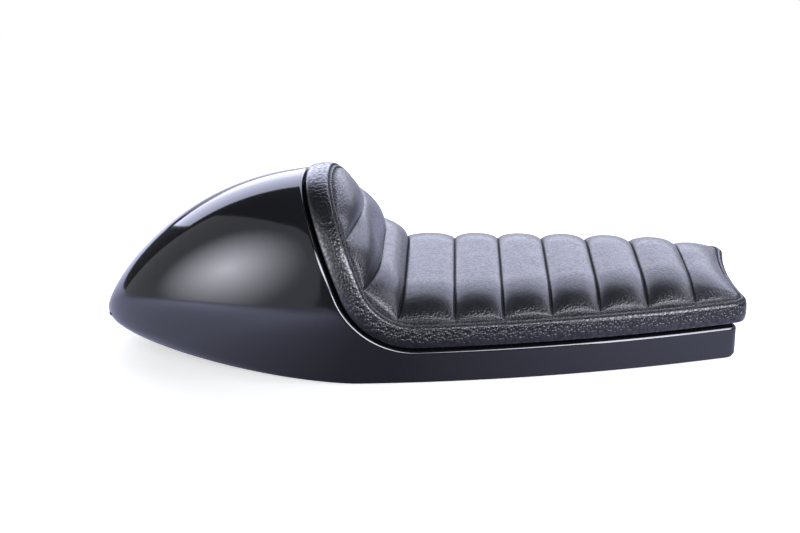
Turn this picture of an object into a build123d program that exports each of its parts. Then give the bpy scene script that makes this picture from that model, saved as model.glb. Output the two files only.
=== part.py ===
"""Motorbike seat cowl with its sewn pad: a moulded shell, and a rolled leather pad bolted to its deck.

Millimetres. +X points to the nose of the seat, +Z up, and the shell stands on the lower edge of its skirts.
The origin is on the ground, below the middle of the whole unit.
"""

import os
from math import cos, radians, sin, sqrt, tanh

from build123d import *

os.makedirs("parts", exist_ok=True)

# Plan and height of the whole unit
tail_reach = 340.0
nose_reach = 342.5
half_width = 117.5
widest_x = -50.0
side_radius = 1670.0
hump_height = 188.0
hump_top_x = -80.0
tip_height = 39.0
tail_lift = 33.0
tail_lift_start = -60.0

# How round the forms are: powers and shares, without a unit, and degrees where the skin is held
section_power = 2.3
plan_power = 0.6
roof_power = 0.78
roof_bend = 2.2
lift_power = 1.3
tip_power = 40
waist_share = 0.16
tuck_share = 0.07
arch_turns = (14, 30, 48, 68)
tail_turns = (86, 80, 72, 62, 50, 36, 18, 0)

# Moulded shell
shell_wall = 3.5
skirt_height = 34.5
rim_round = 4.0
cowl_setback = 11.0
cowl_corner_round = 6.0
skirt_corner_round = 10.0
nose_hollow = 9.0

# Seat line: flat deck, bend, then a bulkhead that leans back
bend_x = 5.0
bend_radius = 85.5
back_lean = 21.0

# Sewn pad, measured square to the seat line
shadow_gap = 4.0
leather = 2.0
pan_plate = 4.0
band_width = 24.0
pad_proud = 2.5
pad_corner_round = 14.0
hem_width = 15.0
seat_margin = 22.0
top_turn_down = 1.0
seam_dip = 3.0

# Ten rolls from the nose to the top of the back rest
nose_roll = 56.5
seat_roll = 48.6
seat_rolls = 5
corner_roll = 58.0
back_roll = 47.5
back_rolls = 2
crown = 16.5
nose_crown = -13.0
nose_roll_puff = 1.0
roll_puff = 5.5
slope_roll_puff = 7.5
back_roll_puff = 3.5
top_roll_puff = 5.0
crown_power = 4.5
puff_power = 6
crown_droop = 0.6
least_puff = 0.1

# Studs, washers and nuts that hold the pad to the deck
stud_radius = 4.0
stud_head_radius = 10.0
stud_head_height = 4.0
stud_end_radius = 3.0
stud_end_height = 6.0
stud_shoulder_height = 22.0
stud_chamfer = 0.8
stud_centre_x = 145.0
stud_spacing_x = 190.0
stud_spacing_y = 100.0
pan_hole_clearance = 0.1
deck_hole_clearance = 0.5
washer_radius = 10.0
washer_height = 1.6
washer_clearance = 0.3
nut_across_flats = 13.0
nut_height = 6.5
nut_clearance = 0.1

# Levels above the seat line, and runs along the seam, that follow from the sizes above
bend_turn = 90.0 - back_lean
seam_level = shadow_gap + band_width
pan_level = shadow_gap + leather
foam_level = pan_level + pan_plate
deck_run = nose_reach - bend_x
bend_run = (bend_radius - seam_level) * radians(bend_turn)

# Tools that cut reach past what they cut by this much, or across its whole width
overshoot = 20.0
small_overshoot = 5.0
reach = 2 * half_width
ground = -2 * overshoot


# Outline of the unit, station by station along X, grown or shrunk evenly


def tail_share(x, grow=0.0):
    """0 where the lower edge starts to lift, 1 at the tip of the tail."""
    return min(max((tail_lift_start - x) / (tail_lift_start + tail_reach + grow), 0.0), 1.0)


def plan_half_width(x, grow=0.0):
    """Half of the greatest width at this station."""
    w = half_width + grow
    if x >= widest_x:
        return w - side_radius + sqrt(side_radius**2 - (x - widest_x) ** 2)
    t = min((widest_x - x) / (widest_x + tail_reach + grow), 1.0)
    return w * (1 - t**2) ** plan_power


def roof_height(x, grow=0.0):
    """Height of the hump on the centre line, held level in front of its top."""
    top = hump_height + grow
    if x >= hump_top_x:
        return top
    t = min((hump_top_x - x) / (hump_top_x + tail_reach + grow), 1.0)
    return tip_height + (top - tip_height) * (1 - t**roof_bend) ** roof_power


def lower_edge(x):
    """Height of the shell's lower edge, flat under the seat and lifting to the tail."""
    return tail_lift * max((tail_lift_start - x) / (tail_lift_start + tail_reach), 0.0) ** lift_power


def rounded_edge(x, grow):
    """The lower edge, rounded up into the tip of the tail."""
    return lower_edge(x) + (tip_height - tail_lift) * (1 - sqrt(1 - tail_share(x, grow) ** tip_power))


def half_width_at(x, z, grow):
    """Half of the width of the arched section at height z, ahead of the tail."""
    t = min(z / roof_height(x, grow), 1.0)
    return plan_half_width(x, grow) * (1 - t**section_power) ** (1 / section_power)


# Seat line: points in the XZ plane at a level above it


def on_deck(x, level):
    return (x, skirt_height + level)


def on_bend(turn, level):
    r = bend_radius - level
    return (bend_x - r * sin(radians(turn)), skirt_height + bend_radius - r * cos(radians(turn)))


def on_back(rise, level):
    x, z = on_bend(bend_turn, level)
    return (x - rise * sin(radians(back_lean)), z + rise * cos(radians(back_lean)))


def on_seat(distance, level):
    """Point at a distance from the nose, measured along the seam between band and top panel."""
    if distance <= deck_run:
        return on_deck(nose_reach - distance, level)
    if distance <= deck_run + bend_run:
        return on_bend(bend_turn * (distance - deck_run) / bend_run, level)
    return on_back(distance - deck_run - bend_run, level)


# The arched hull, whose skin runs through arches held by the two lower edges and the ridge


def lower_point(x, grow, foot):
    """Foot of the arch at this station: its half width and height."""
    t = tail_share(x, grow)
    tuck = tuck_share * t * t * (3 - 2 * t)
    return plan_half_width(x, grow) * (1 - tuck), rounded_edge(x, grow) - foot * (1 - t**tip_power)


def arch(x, grow, foot):
    """One arch of the hull, widest a little above its lower edge at the tail."""
    w = plan_half_width(x, grow)
    t = tail_share(x, grow)
    edge = rounded_edge(x, grow)
    waist = edge + waist_share * t * t * (3 - 2 * t) * (roof_height(x, grow) - edge)
    p = 2 / section_power
    foot_y, foot_z = lower_point(x, grow, foot)
    quarter = [(foot_y, foot_z), (w, waist)]
    for turn in arch_turns:
        rise = (roof_height(x, grow) - waist) * sin(radians(turn)) ** p
        quarter.append((w * cos(radians(turn)) ** p, waist + rise))
    right = [(x, y, z) for y, z in quarter]
    left = [(x, -y, z) for y, z in reversed(quarter)]
    with BuildLine() as line:
        Spline(right + [(x, 0, roof_height(x, grow))] + left)
    return line.edge()


def hull(grow, foot):
    """Solid under the arched skin, from the tip of the tail to past the nose."""
    tip = (-tail_reach - grow, 0, tip_height)
    front = nose_reach + overshoot
    tail = [widest_x - (widest_x - tip[0]) * sin(radians(a)) for a in tail_turns]
    ahead = [widest_x + (front - widest_x) * i / 6 for i in range(1, 7)]
    stations = tail + ahead
    feet = [(x, *lower_point(x, grow, foot)) for x in stations]
    with BuildLine() as right:
        Spline([tip] + feet)
    with BuildLine() as left:
        Spline([tip] + [(x, -y, z) for x, y, z in feet])
    with BuildLine() as ridge:
        Spline([tip] + [(x, 0, roof_height(x, grow)) for x in stations])
    arches = [arch(x, grow, foot) for x in tail[3:] + ahead[1::2]]
    skin = Face.make_gordon_surface([tip] + arches, [right.edge(), ridge.edge(), left.edge()])
    left_edge, front_arch, right_edge = skin.edges().sort_by(Axis.Y)
    floor = Face.make_surface_from_curves(left_edge, right_edge.reversed())
    front_face = Face(Wire([front_arch, Edge.make_line(front_arch @ 1, front_arch @ 0)]))
    with BuildPart() as body:
        add(Solid(Shell([skin, floor, front_face])))
    return body.part


# Cutters that follow the seat line and the lower edge


def nose_cutter(front, wall=0.0):
    """Everything ahead of the hollow nose: an upright cylinder through the nose corners."""
    chord = plan_half_width(front)
    radius = (chord**2 + nose_hollow**2) / (2 * nose_hollow)
    with BuildPart() as cutter:
        with Locations((front - nose_hollow + radius, 0, 0)):
            Cylinder(radius + wall, 4 * hump_height)
    return cutter.part


def nosed_hull(grow, foot, front, corner):
    """Hull cut off at the hollow nose, with the corners of the nose rounded."""
    with BuildPart() as body:
        add(hull(grow, foot))
        add(nose_cutter(front), mode=Mode.SUBTRACT)
        nose_edges = body.edges().filter_by(lambda e: e.center().X > front - 2 * nose_hollow)
        fillet(nose_edges.sort_by(SortBy.LENGTH)[-1], radius=corner)
    return body.part


def below_seat(level):
    """Everything below an offset of the seat line."""
    front = nose_reach + overshoot
    corner = (-tail_reach - overshoot, on_back(hump_height, level)[1])
    with BuildPart() as below:
        with BuildSketch(Plane.XZ):
            with BuildLine():
                Line(on_deck(front, level), on_deck(bend_x, level))
                ThreePointArc(on_bend(0, level), on_bend(bend_turn / 2, level), on_bend(bend_turn, level))
                Polyline(on_back(0, level), on_back(hump_height, level), corner, (corner[0], ground))
                Polyline((corner[0], ground), (front, ground), on_deck(front, level))
            make_face()
        extrude(amount=reach, both=True)
    return below.part


def below_lower_edge():
    """Everything below the lower edge, with the front corner of the skirts rounded."""
    front = nose_reach - cowl_setback
    corner = (front, skirt_corner_round)
    ahead = front + overshoot
    behind = -tail_reach - overshoot
    lift = [tail_lift_start + (behind - tail_lift_start) * i / 5 for i in range(6)]
    end_slope = lift_power * tail_lift / (tail_lift_start + tail_reach)
    start = (front - skirt_corner_round, 0)
    with BuildPart() as below:
        with BuildSketch(Plane.XZ):
            with BuildLine():
                Spline([(x, lower_edge(x)) for x in lift], tangents=[(-1, 0), (-1, end_slope)])
                Line((tail_lift_start, 0), start)
                RadiusArc(start, corner, -skirt_corner_round)
                Polyline(corner, (ahead, skirt_corner_round), (ahead, ground))
                Polyline((ahead, ground), (behind, ground), (behind, lower_edge(behind)))
            make_face()
        extrude(amount=reach, both=True)
    return below.part


def seat_slab(low, high):
    """Bent slab between two offsets of the seat line, longer than the unit at both ends."""
    front = nose_reach + overshoot
    middle = bend_turn / 2
    with BuildPart() as slab:
        with BuildSketch(Plane.XZ):
            with BuildLine():
                Line(on_deck(front, low), on_deck(bend_x, low))
                ThreePointArc(on_bend(0, low), on_bend(middle, low), on_bend(bend_turn, low))
                Polyline(on_back(0, low), on_back(hump_height, low), on_back(hump_height, high))
                Line(on_back(hump_height, high), on_back(0, high))
                ThreePointArc(on_bend(bend_turn, high), on_bend(middle, high), on_bend(0, high))
                Polyline(on_deck(bend_x, high), on_deck(front, high), on_deck(front, low))
            make_face()
        extrude(amount=reach, both=True)
    return slab.part


# The pad's outline and its rolls


def pad_envelope(inset, corner):
    """Space that the pad fills in plan and within the hump's arch."""
    return nosed_hull(pad_proud - inset, overshoot, nose_reach - inset, corner)


def crown_share(y, w):
    """Share of the crown that is left at y: 1 in the middle, 0 at the seam, a little less beyond it."""
    share = 1 - (abs(y) / w) ** crown_power
    if share > 0:
        return share
    return crown_droop * tanh(share / crown_droop)


def top_level(distance, y, height, puff):
    """Level of the rolled top above the seat line, for this crown and this puff of a roll."""
    w = max(half_width_at(*on_seat(distance, seam_level), pad_proud), half_width / 4)
    rise = height * sqrt(w / half_width) * crown_share(y, w)
    return seam_level + rise + puff * max(1 - (abs(y) / w) ** puff_power, least_puff)


def back_top(y):
    """Distance along the seam at which it meets the arch over the back rest, at a side offset y."""
    t = min(abs(y) / (half_width + pad_proud), 1.0)
    roof = (hump_height + pad_proud) * (1 - t**section_power) ** (1 / section_power)
    return deck_run + bend_run + (roof - on_back(0, seam_level)[1]) / cos(radians(back_lean))


def rolled_section(y, inset, floor):
    """Side profile of the padded body at a side offset y: one arc for each roll."""
    rolls = [nose_roll] + [seat_roll] * seat_rolls + [corner_roll] + [back_roll] * back_rolls
    seat_puffs = [roll_puff] * (seat_rolls + 1)
    back_puffs = [slope_roll_puff] + [back_roll_puff] * (back_rolls - 1)
    puffs = [nose_roll_puff] + seat_puffs + back_puffs
    grooves = [sum(rolls[: i + 1]) for i in range(len(rolls))]
    middles = [(a + b) / 2 for a, b in zip([0] + grooves, grooves)]
    front = -overshoot / 2
    end = max(back_top(y), grooves[-1] + back_roll / 3) + seam_dip
    end_level = seam_level - seam_dip
    top_middle = (top_level(grooves[-1], y, crown, 0) + end_level) / 2
    top_puff = top_roll_puff * max(1 - (y / half_width) ** 2, least_puff)
    creases = [on_seat(s, top_level(s, y, crown, 0) - inset) for s in grooves]
    creases.insert(0, on_seat(front, top_level(0, y, nose_crown, 0) - inset))
    creases.append(on_seat(end, end_level - inset))
    crests = [on_seat(s, top_level(s, y, crown, puff) - inset) for s, puff in zip(middles, puffs)]
    crests.append(on_seat((grooves[-1] + end + seam_dip) / 2, top_middle + top_puff - inset))
    with BuildSketch(Plane.XZ.offset(-y)) as section:
        with BuildLine():
            for crease, crest, next_crease in zip(creases, crests, creases[1:]):
                ThreePointArc(crease, crest, next_crease)
            Polyline(creases[-1], on_seat(end + overshoot, floor), on_back(0, floor))
            ThreePointArc(on_bend(bend_turn, floor), on_bend(bend_turn / 2, floor), on_bend(0, floor))
            Polyline(on_deck(bend_x, floor), on_seat(front, floor), creases[0])
        make_face()
    return section.sketch


def rolled_pad(inset, floor, corner):
    """Padded body with the ten rolls across it, trimmed to the pad's outline."""
    span = half_width + pad_proud + small_overshoot
    with BuildPart() as pad:
        loft(sections=[rolled_section(span * i / 6, inset, floor) for i in range(-6, 7)])
        add(pad_envelope(inset, corner), mode=Mode.INTERSECT)
    return pad.part


# Moulded shell: hump, skirts, lip, deck and bulkhead in one piece

cowl_front = nose_reach - cowl_setback
deck_underside = skirt_height - shell_wall

with BuildPart() as shell_cavity:
    add(hull(-shell_wall, overshoot))
    add(nose_cutter(cowl_front, shell_wall), mode=Mode.SUBTRACT)
    add(below_seat(-shell_wall), mode=Mode.INTERSECT)


def seat_offset(point):
    """Level of a point above the seat line."""
    if point.X >= bend_x:
        return point.Z - skirt_height
    dx = bend_x - point.X
    dz = skirt_height + bend_radius - point.Z
    along_back = dx * sin(radians(back_lean)) - dz * cos(radians(back_lean))
    if along_back > 0:
        return bend_radius - dx * cos(radians(back_lean)) - dz * sin(radians(back_lean))
    return bend_radius - sqrt(dx**2 + dz**2)


def on_rim(edge):
    """True for the edges of the deck and bulkhead that the lip rounds, not for their folds."""
    level = max(abs(seat_offset(edge @ t)) for t in (0, 0.25, 0.5, 0.75, 1))
    return level < 0.01 and edge.geom_type != GeomType.LINE


with BuildPart() as cowl_shell:
    add(nosed_hull(0, small_overshoot, cowl_front, cowl_corner_round))
    add(below_seat(0), mode=Mode.INTERSECT)
    add(below_lower_edge(), mode=Mode.SUBTRACT)
    fillet(cowl_shell.edges().filter_by(on_rim), radius=rim_round)
    add(shell_cavity.part, mode=Mode.SUBTRACT)
    with Locations((stud_centre_x, 0, skirt_height)):
        with GridLocations(stud_spacing_x, stud_spacing_y, 2, 2):
            Hole(stud_radius + deck_hole_clearance, depth=2 * shell_wall)
cowl_shell.part.label = "cowl_shell"
export_step(cowl_shell.part, "parts/cowl_shell.step")

# Base pan: a bent plate inside the cover, with a raised seat below it that stands on the deck

with BuildPart() as pan_seat:
    add(seat_slab(0, pan_level))
    add(pad_envelope(seat_margin, pad_corner_round), mode=Mode.INTERSECT)

with BuildPart() as pad_base_pan:
    add(seat_slab(pan_level, foam_level))
    add(pad_envelope(leather, pad_corner_round - leather), mode=Mode.INTERSECT)
    add(pan_seat.part)
    with Locations((stud_centre_x, 0, skirt_height + foam_level)):
        with GridLocations(stud_spacing_x, stud_spacing_y, 2, 2):
            bore = stud_radius + pan_hole_clearance
            CounterBoreHole(bore, stud_head_radius + pan_hole_clearance, stud_head_height)
pad_base_pan.part.label = "pad_base_pan"
export_step(pad_base_pan.part, "parts/pad_base_pan.step")

# Foam block on the pan, with the rolls moulded in its top

with BuildPart() as pad_foam:
    add(rolled_pad(leather, foam_level, pad_corner_round - leather))
pad_foam.part.label = "pad_foam"
export_step(pad_foam.part, "parts/pad_foam.step")

# Leather cover, sewn from a rolled top panel and a band that turns under the pan as a hem

with BuildPart() as cover:
    add(rolled_pad(0, shadow_gap, pad_corner_round))
    add(rolled_pad(leather, pan_level, pad_corner_round - leather), mode=Mode.SUBTRACT)

with BuildPart() as hem_opening:
    add(seat_slab(0, pan_level))
    add(pad_envelope(hem_width, pad_corner_round), mode=Mode.INTERSECT)

with BuildPart() as cover_side_band:
    add(cover.part)
    add(hem_opening.part, mode=Mode.SUBTRACT)
    add(seat_slab(0, seam_level - top_turn_down), mode=Mode.INTERSECT)
cover_side_band.part.label = "cover_side_band"
export_step(cover_side_band.part, "parts/cover_side_band.step")

with BuildPart() as cover_top_panel:
    add(cover.part)
    add(seat_slab(0, seam_level - top_turn_down), mode=Mode.SUBTRACT)
cover_top_panel.part.label = "cover_top_panel"
export_step(cover_top_panel.part, "parts/cover_top_panel.step")

# Studs let into the pan, with their washers and nuts under the deck

with BuildPart() as pad_studs:
    with Locations((stud_centre_x, 0, skirt_height + foam_level)):
        with GridLocations(stud_spacing_x, stud_spacing_y, 2, 2):
            Cylinder(stud_head_radius, stud_head_height, align=(Align.CENTER, Align.CENTER, Align.MAX))
            shank = skirt_height + foam_level - stud_shoulder_height
            Cylinder(stud_radius, shank, align=(Align.CENTER, Align.CENTER, Align.MAX))
            whole = skirt_height + foam_level - stud_end_height
            Cylinder(stud_end_radius, whole, align=(Align.CENTER, Align.CENTER, Align.MAX))
    chamfer(pad_studs.edges().group_by(Axis.Z)[0], length=stud_chamfer)
pad_studs.part.label = "pad_studs"
export_step(pad_studs.part, "parts/pad_studs.step")

with BuildPart() as stud_washers:
    with BuildSketch(Plane.XY.offset(deck_underside)):
        with Locations((stud_centre_x, 0)):
            with GridLocations(stud_spacing_x, stud_spacing_y, 2, 2):
                Circle(washer_radius)
                Circle(stud_radius + washer_clearance, mode=Mode.SUBTRACT)
    extrude(amount=-washer_height)
stud_washers.part.label = "stud_washers"
export_step(stud_washers.part, "parts/stud_washers.step")

with BuildPart() as stud_nuts:
    with BuildSketch(Plane.XY.offset(deck_underside - washer_height)):
        with Locations((stud_centre_x, 0)):
            with GridLocations(stud_spacing_x, stud_spacing_y, 2, 2):
                RegularPolygon(nut_across_flats / 2, 6, major_radius=False)
                Circle(stud_radius + nut_clearance, mode=Mode.SUBTRACT)
    extrude(amount=-nut_height)
stud_nuts.part.label = "stud_nuts"
export_step(stud_nuts.part, "parts/stud_nuts.step")
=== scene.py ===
# %% [markdown]
# # Seat cowl with a rolled leather pad
#
# The real object is a one-piece moulded seat unit for a motorcycle: a gloss black hump with long side
# skirts, and on its deck a leather pad that is sewn in rolls and turns up into a low back rest. This lesson
# loads the solid model as a fixed frame, models the gloss moulding and the sewn pad around it, and lights
# them.

# %% Load the frame
import math

import bpy
import numpy as np
from mathutils import Matrix, Vector


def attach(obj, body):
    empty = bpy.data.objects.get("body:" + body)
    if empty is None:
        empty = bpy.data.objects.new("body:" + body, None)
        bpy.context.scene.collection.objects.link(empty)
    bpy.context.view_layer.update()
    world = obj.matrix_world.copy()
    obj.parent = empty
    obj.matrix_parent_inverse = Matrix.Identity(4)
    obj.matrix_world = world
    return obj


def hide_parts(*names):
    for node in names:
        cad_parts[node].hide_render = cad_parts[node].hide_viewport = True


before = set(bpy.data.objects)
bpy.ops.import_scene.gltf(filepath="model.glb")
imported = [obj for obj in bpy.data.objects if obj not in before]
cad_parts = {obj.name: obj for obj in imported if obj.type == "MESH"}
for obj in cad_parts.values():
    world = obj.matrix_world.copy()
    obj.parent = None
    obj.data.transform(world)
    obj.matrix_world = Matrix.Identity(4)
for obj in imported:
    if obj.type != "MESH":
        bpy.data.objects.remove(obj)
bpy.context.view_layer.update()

print("nodes", sorted(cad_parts))

# %% [markdown]
# ## Sizes of the unit
#
# The moulding and the pad share one set of lines: a plan outline, a roof line, a lower edge, and the seat
# line that runs along the deck, round a bend and up a bulkhead that leans back. The sizes below are those of
# the solid model, in millimetres, so that each surface here lies where the solid has it, only smoother.

# %% Sizes in millimetres
MM = 0.001
tail_reach = 340.0
nose_reach = 342.5
half_width = 117.5
widest_x = -50.0
side_radius = 1670.0
hump_height = 188.0
hump_top_x = -80.0
tip_height = 39.0
tail_lift = 33.0
tail_lift_start = -60.0
section_power = 2.3
plan_power = 0.6
roof_power = 0.78
roof_bend = 2.2
lift_power = 1.3
tip_power = 40
waist_share = 0.16
tuck_share = 0.07
shell_wall = 3.5
skirt_height = 34.5
rim_round = 4.0
cowl_front = nose_reach - 11.0
cowl_corner_round = 6.0
skirt_corner_round = 10.0
nose_hollow = 9.0
bend_x = 5.0
bend_radius = 85.5
bend_turn = math.radians(69.0)
seam_level = 28.0
pad_proud = 2.5
pad_corner_round = 14.0
deck_run = nose_reach - bend_x
bend_run = (bend_radius - seam_level) * bend_turn
print("seat line:", deck_run, "mm of deck,", round(bend_run, 1), "mm of bend")

# %% [markdown]
# ## The hull as a formula
#
# A hump like this could be shaped from a sphere by hand, but the photograph fixes its outline closely, and
# gloss paint shows every ripple. A formula for the skin gives an outline that can be measured, and points as
# close together as the reflections need. Three lines come first: the plan, the roof and the lower edge.

# %% Lines of the hull
tiny = 1e-6


def tail_share(x, grow):
    """0 where the lower edge starts to lift, 1 at the tip of the tail."""
    return np.clip((tail_lift_start - x) / (tail_lift_start + tail_reach + grow), 0, 1)


def plan_half_width(x, grow=0.0):
    """Half of the hull's width from above: a long arc in front, a round tail behind."""
    w = half_width + grow
    ahead = np.maximum(x, widest_x) - widest_x
    t = np.clip((widest_x - x) / (widest_x + tail_reach + grow), 0, 1)
    flank = w - side_radius + np.sqrt(side_radius**2 - ahead**2)
    return np.where(x >= widest_x, flank, w * (1 - t**2) ** plan_power)


def roof_height(x, grow=0.0):
    """Height of the hump's ridge."""
    t = np.clip((hump_top_x - x) / (hump_top_x + tail_reach + grow), 0, 1)
    return tip_height + (hump_height + grow - tip_height) * (1 - t**roof_bend) ** roof_power


def lower_edge(x, grow=0.0):
    """Lower edge: round at the front corner of the skirts, lifting to the tip of the tail."""
    t = tail_share(x, grow)
    tip = (tip_height - tail_lift) * (1 - np.sqrt(1 - t**tip_power))
    past = np.clip(x - cowl_front + skirt_corner_round, 0, skirt_corner_round)
    corner = skirt_corner_round - np.sqrt(skirt_corner_round**2 - past**2)
    return tail_lift * t**lift_power + tip + corner


print("half width at the bend", round(float(plan_half_width(bend_x)), 1), "mm")

# %% [markdown]
# Each arch of the hull is a rounded rectangle of the kind called a superellipse. It is widest at its waist,
# which lies at the foot of the skirts and rises towards the tail, where the lower part tucks in again. A
# point is named by its place along the hull and by a share of its arch, from the lower edge to the ridge.

# %% Arches of the hull
ridge_part = 0.75
slope_step = 1e-3


def ease(t):
    """A share that starts and ends gently."""
    return t * t * (3 - 2 * t)


def arch_levels(x, grow):
    """Lower edge, waist and roof of the arch at x, and how far it belongs to the tail."""
    t = ease(tail_share(x, grow))
    edge = lower_edge(x, grow)
    roof = roof_height(x, grow)
    waist = edge * (t > 0) + waist_share * t * (roof - edge)
    return edge, waist, roof, t


def half_width_at(x, z, grow=0.0):
    """Half of the hull's width at a point of its side view."""
    edge, waist, roof, t = arch_levels(x, grow)
    up = np.clip((z - waist) / np.maximum(roof - waist, tiny), 0, 1)
    down = np.clip((waist - z) / np.maximum(waist - edge, tiny), 0, 1)
    arch = (1 - up**section_power) ** (1 / section_power)
    return plan_half_width(x, grow) * arch * (1 - tuck_share * t * down**2)


def hull_point(x, share, grow=0.0):
    """Point on the hull's right half: share is 0 on the lower edge and 1 on the ridge."""
    edge = lower_edge(x, grow)
    rise = np.sin(np.clip(share, 0, 1) * math.pi / 2) ** (2 / section_power)
    z = edge + (roof_height(x, grow) - edge) * rise
    return np.stack([x, half_width_at(x, z, grow), z], axis=-1)


def hull_share(x, y, z, grow=0.0):
    """The share that gives this point back, from its height low down and from its width near the ridge."""
    edge, waist, roof, _ = arch_levels(x, grow)
    narrow = np.clip(y / np.maximum(plan_half_width(x, grow), tiny), 0, 1)
    z_by_width = waist + (roof - waist) * (1 - narrow**section_power) ** (1 / section_power)
    z = np.where(narrow < ridge_part, z_by_width, z)
    rise = np.clip((z - edge) / np.maximum(roof - edge, tiny), 0, 1)
    return np.arcsin(rise ** (section_power / 2)) * 2 / math.pi


def unit(v):
    """Vectors of length 1."""
    return v / np.maximum(np.linalg.norm(v, axis=-1, keepdims=True), tiny**2)


def hull_normal(x, share, grow=0.0):
    """Outward normal of the hull."""
    along = hull_point(x + slope_step, share, grow) - hull_point(x - slope_step, share, grow)
    low = np.maximum(share - slope_step, 0)
    across = hull_point(x, np.minimum(low + 2 * slope_step, 1), grow) - hull_point(x, low, grow)
    return unit(np.cross(across, along))


print("half width at the hump's shoulder", round(float(half_width_at(hump_top_x, 100.0)), 1), "mm")

# %% [markdown]
# ## The seat line
#
# The deck, the bend and the bulkhead are one line in the side view. A level is measured square to it, so the
# leather pad can be described as if it lay flat, and then be bent up into the back rest.


# %% Points on the seat line
def on_bend(turn, level):
    """x and z on the bend, at a turn from the deck."""
    r = bend_radius - level
    return bend_x - r * np.sin(turn), skirt_height + bend_radius - r * np.cos(turn)


def seat_turn(distance):
    """How far the seat line has turned up at a distance from the nose."""
    return np.clip((distance - deck_run) / bend_run, 0, 1) * bend_turn


def seat_normal(turn):
    """Direction square to the seat line."""
    return np.stack([np.sin(turn), np.zeros_like(turn), np.cos(turn)], -1)


def on_seat(distance, level):
    """x and z at a distance from the nose, measured along the seam of the pad."""
    distance, level = np.broadcast_arrays(np.asarray(distance, float), np.asarray(level, float))
    x, z = on_bend(seat_turn(distance), level)
    ahead = np.maximum(deck_run - distance, 0)
    rise = np.maximum(distance - deck_run - bend_run, 0)
    return x + ahead - rise * math.cos(bend_turn), z + rise * math.sin(bend_turn)


# %% [markdown]
# The lip of the shell, the seam of the pad and the rows of the side band are all outlines at some level
# above the seat line. Each starts in the middle of the nose, which is slightly hollow, and turns a round
# corner into the side. The corner touches both, and its place is found by halving a range again and again.

# %% Front of an outline
loop_counts = {"nose": 16, "corner": 8, "side": 120, "bend": 60, "back": 64}
first_side = loop_counts["nose"] + loop_counts["corner"]
corner_range = 60.0
halvings = 60


def side_frame(x, z, grow):
    """Plan point on the side at x, and its outward direction."""
    rise = half_width_at(x + slope_step, z, grow) - half_width_at(x - slope_step, z, grow)
    slope = rise / (2 * slope_step)
    out = np.array([-slope, 1.0]) / math.hypot(slope, 1.0)
    return np.array([x, half_width_at(x, z, grow)]), out


def loop_front(z, grow, front, corner_round):
    """Nose and corner of an outline: plan points, outward directions, and x where the side starts."""
    chord = float(plan_half_width(np.array(front)))
    radius = (chord**2 + nose_hollow**2) / (2 * nose_hollow)
    axis = np.array([front - nose_hollow + radius, 0.0])
    low = front - corner_range
    high = front
    for _ in range(halvings):
        middle = np.float64((low + high) / 2)
        touch, out = side_frame(middle, z, grow)
        centre = touch - corner_round * out
        if np.linalg.norm(centre - axis) > radius + corner_round:
            low = middle
        else:
            high = middle
    to_axis = (axis - centre) / np.linalg.norm(axis - centre)
    end = math.atan2(-to_axis[1], -to_axis[0])
    turns = math.pi + (end - math.pi) * np.arange(loop_counts["nose"]) / loop_counts["nose"]
    nose_out = np.stack([-np.cos(turns), -np.sin(turns)], -1)
    nose = axis - radius * nose_out
    start = math.atan2(to_axis[1], to_axis[0])
    end = math.atan2(out[1], out[0])
    turns = start + (end - start) * np.arange(loop_counts["corner"]) / loop_counts["corner"]
    corner_out = np.stack([np.cos(turns), np.sin(turns)], -1)
    corner = centre + corner_round * corner_out
    return np.concatenate([nose, corner]), np.concatenate([nose_out, corner_out]), touch[0]


print("points on half an outline", sum(loop_counts.values()))

# %% [markdown]
# From the corner the outline follows the side of the hull, goes round the bend, and climbs the leaning
# bulkhead to the ridge. Only the right half is worked out, and the left half is its mirror image.

# %% Half of an outline
back_rounds = 12
mirror = np.array([1, -1, 1])


def half_loop(level, grow, front, corner_round):
    """Half of the outline at a level: points, outward normals, seat normals, distances along the seam."""
    z = skirt_height + level
    plan, plan_out, side_start = loop_front(z, grow, front, corner_round)
    front_points = np.column_stack([plan, np.full(len(plan), z)])
    front_out = np.column_stack([plan_out, np.zeros(len(plan))])
    side_x = np.linspace(side_start, bend_x, loop_counts["side"], endpoint=False)
    bend_at = np.linspace(0, bend_turn, loop_counts["bend"], endpoint=False)
    bend_xs, bend_zs = on_bend(bend_at, level)
    foot_x, foot_z = on_bend(bend_turn, level)
    foot_y = half_width_at(foot_x, foot_z, grow)
    back_share = np.linspace(hull_share(foot_x, foot_y, foot_z, grow), 1, loop_counts["back"])
    back_x = np.full(len(back_share), foot_x)
    for _ in range(back_rounds):
        back_z = hull_point(back_x, back_share, grow)[:, 2]
        back_x = foot_x - (back_z - foot_z) / math.tan(bend_turn)
    x = np.concatenate([side_x, bend_xs, back_x])
    heights = np.concatenate([np.full(len(side_x), z), bend_zs, back_z])
    share = hull_share(x, half_width_at(x, heights, grow), heights, grow)
    share[-len(back_share) :] = back_share
    points = np.concatenate([front_points, hull_point(x, share, grow)])
    outs = np.concatenate([front_out, hull_normal(x, share, grow)])
    bend_start = first_side + len(side_x)
    back_start = bend_start + len(bend_at)
    lean = np.concatenate([np.zeros(bend_start), bend_at, np.full(len(back_share), bend_turn)])
    distance = nose_reach - points[:, 0]
    distance[bend_start:back_start] = deck_run + bend_at / bend_turn * bend_run
    distance[back_start:] = deck_run + bend_run + (back_z - foot_z) / math.sin(bend_turn)
    return points, outs, seat_normal(lean), distance


def pad_loop(level, inset):
    """Half of the pad's outline at a level, drawn in by an inset."""
    return half_loop(level, pad_proud - inset, nose_reach - inset, pad_corner_round - inset)


def whole_loop(half):
    """The half loop and its mirror image as one closed loop."""
    return np.concatenate([half, (half[::-1] * mirror)[1:]])


seam_run = pad_loop(seam_level, 0.0)[3]
print("seam of the pad", round(seam_run[-1]), "mm from the nose to the top of the back rest")

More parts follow.
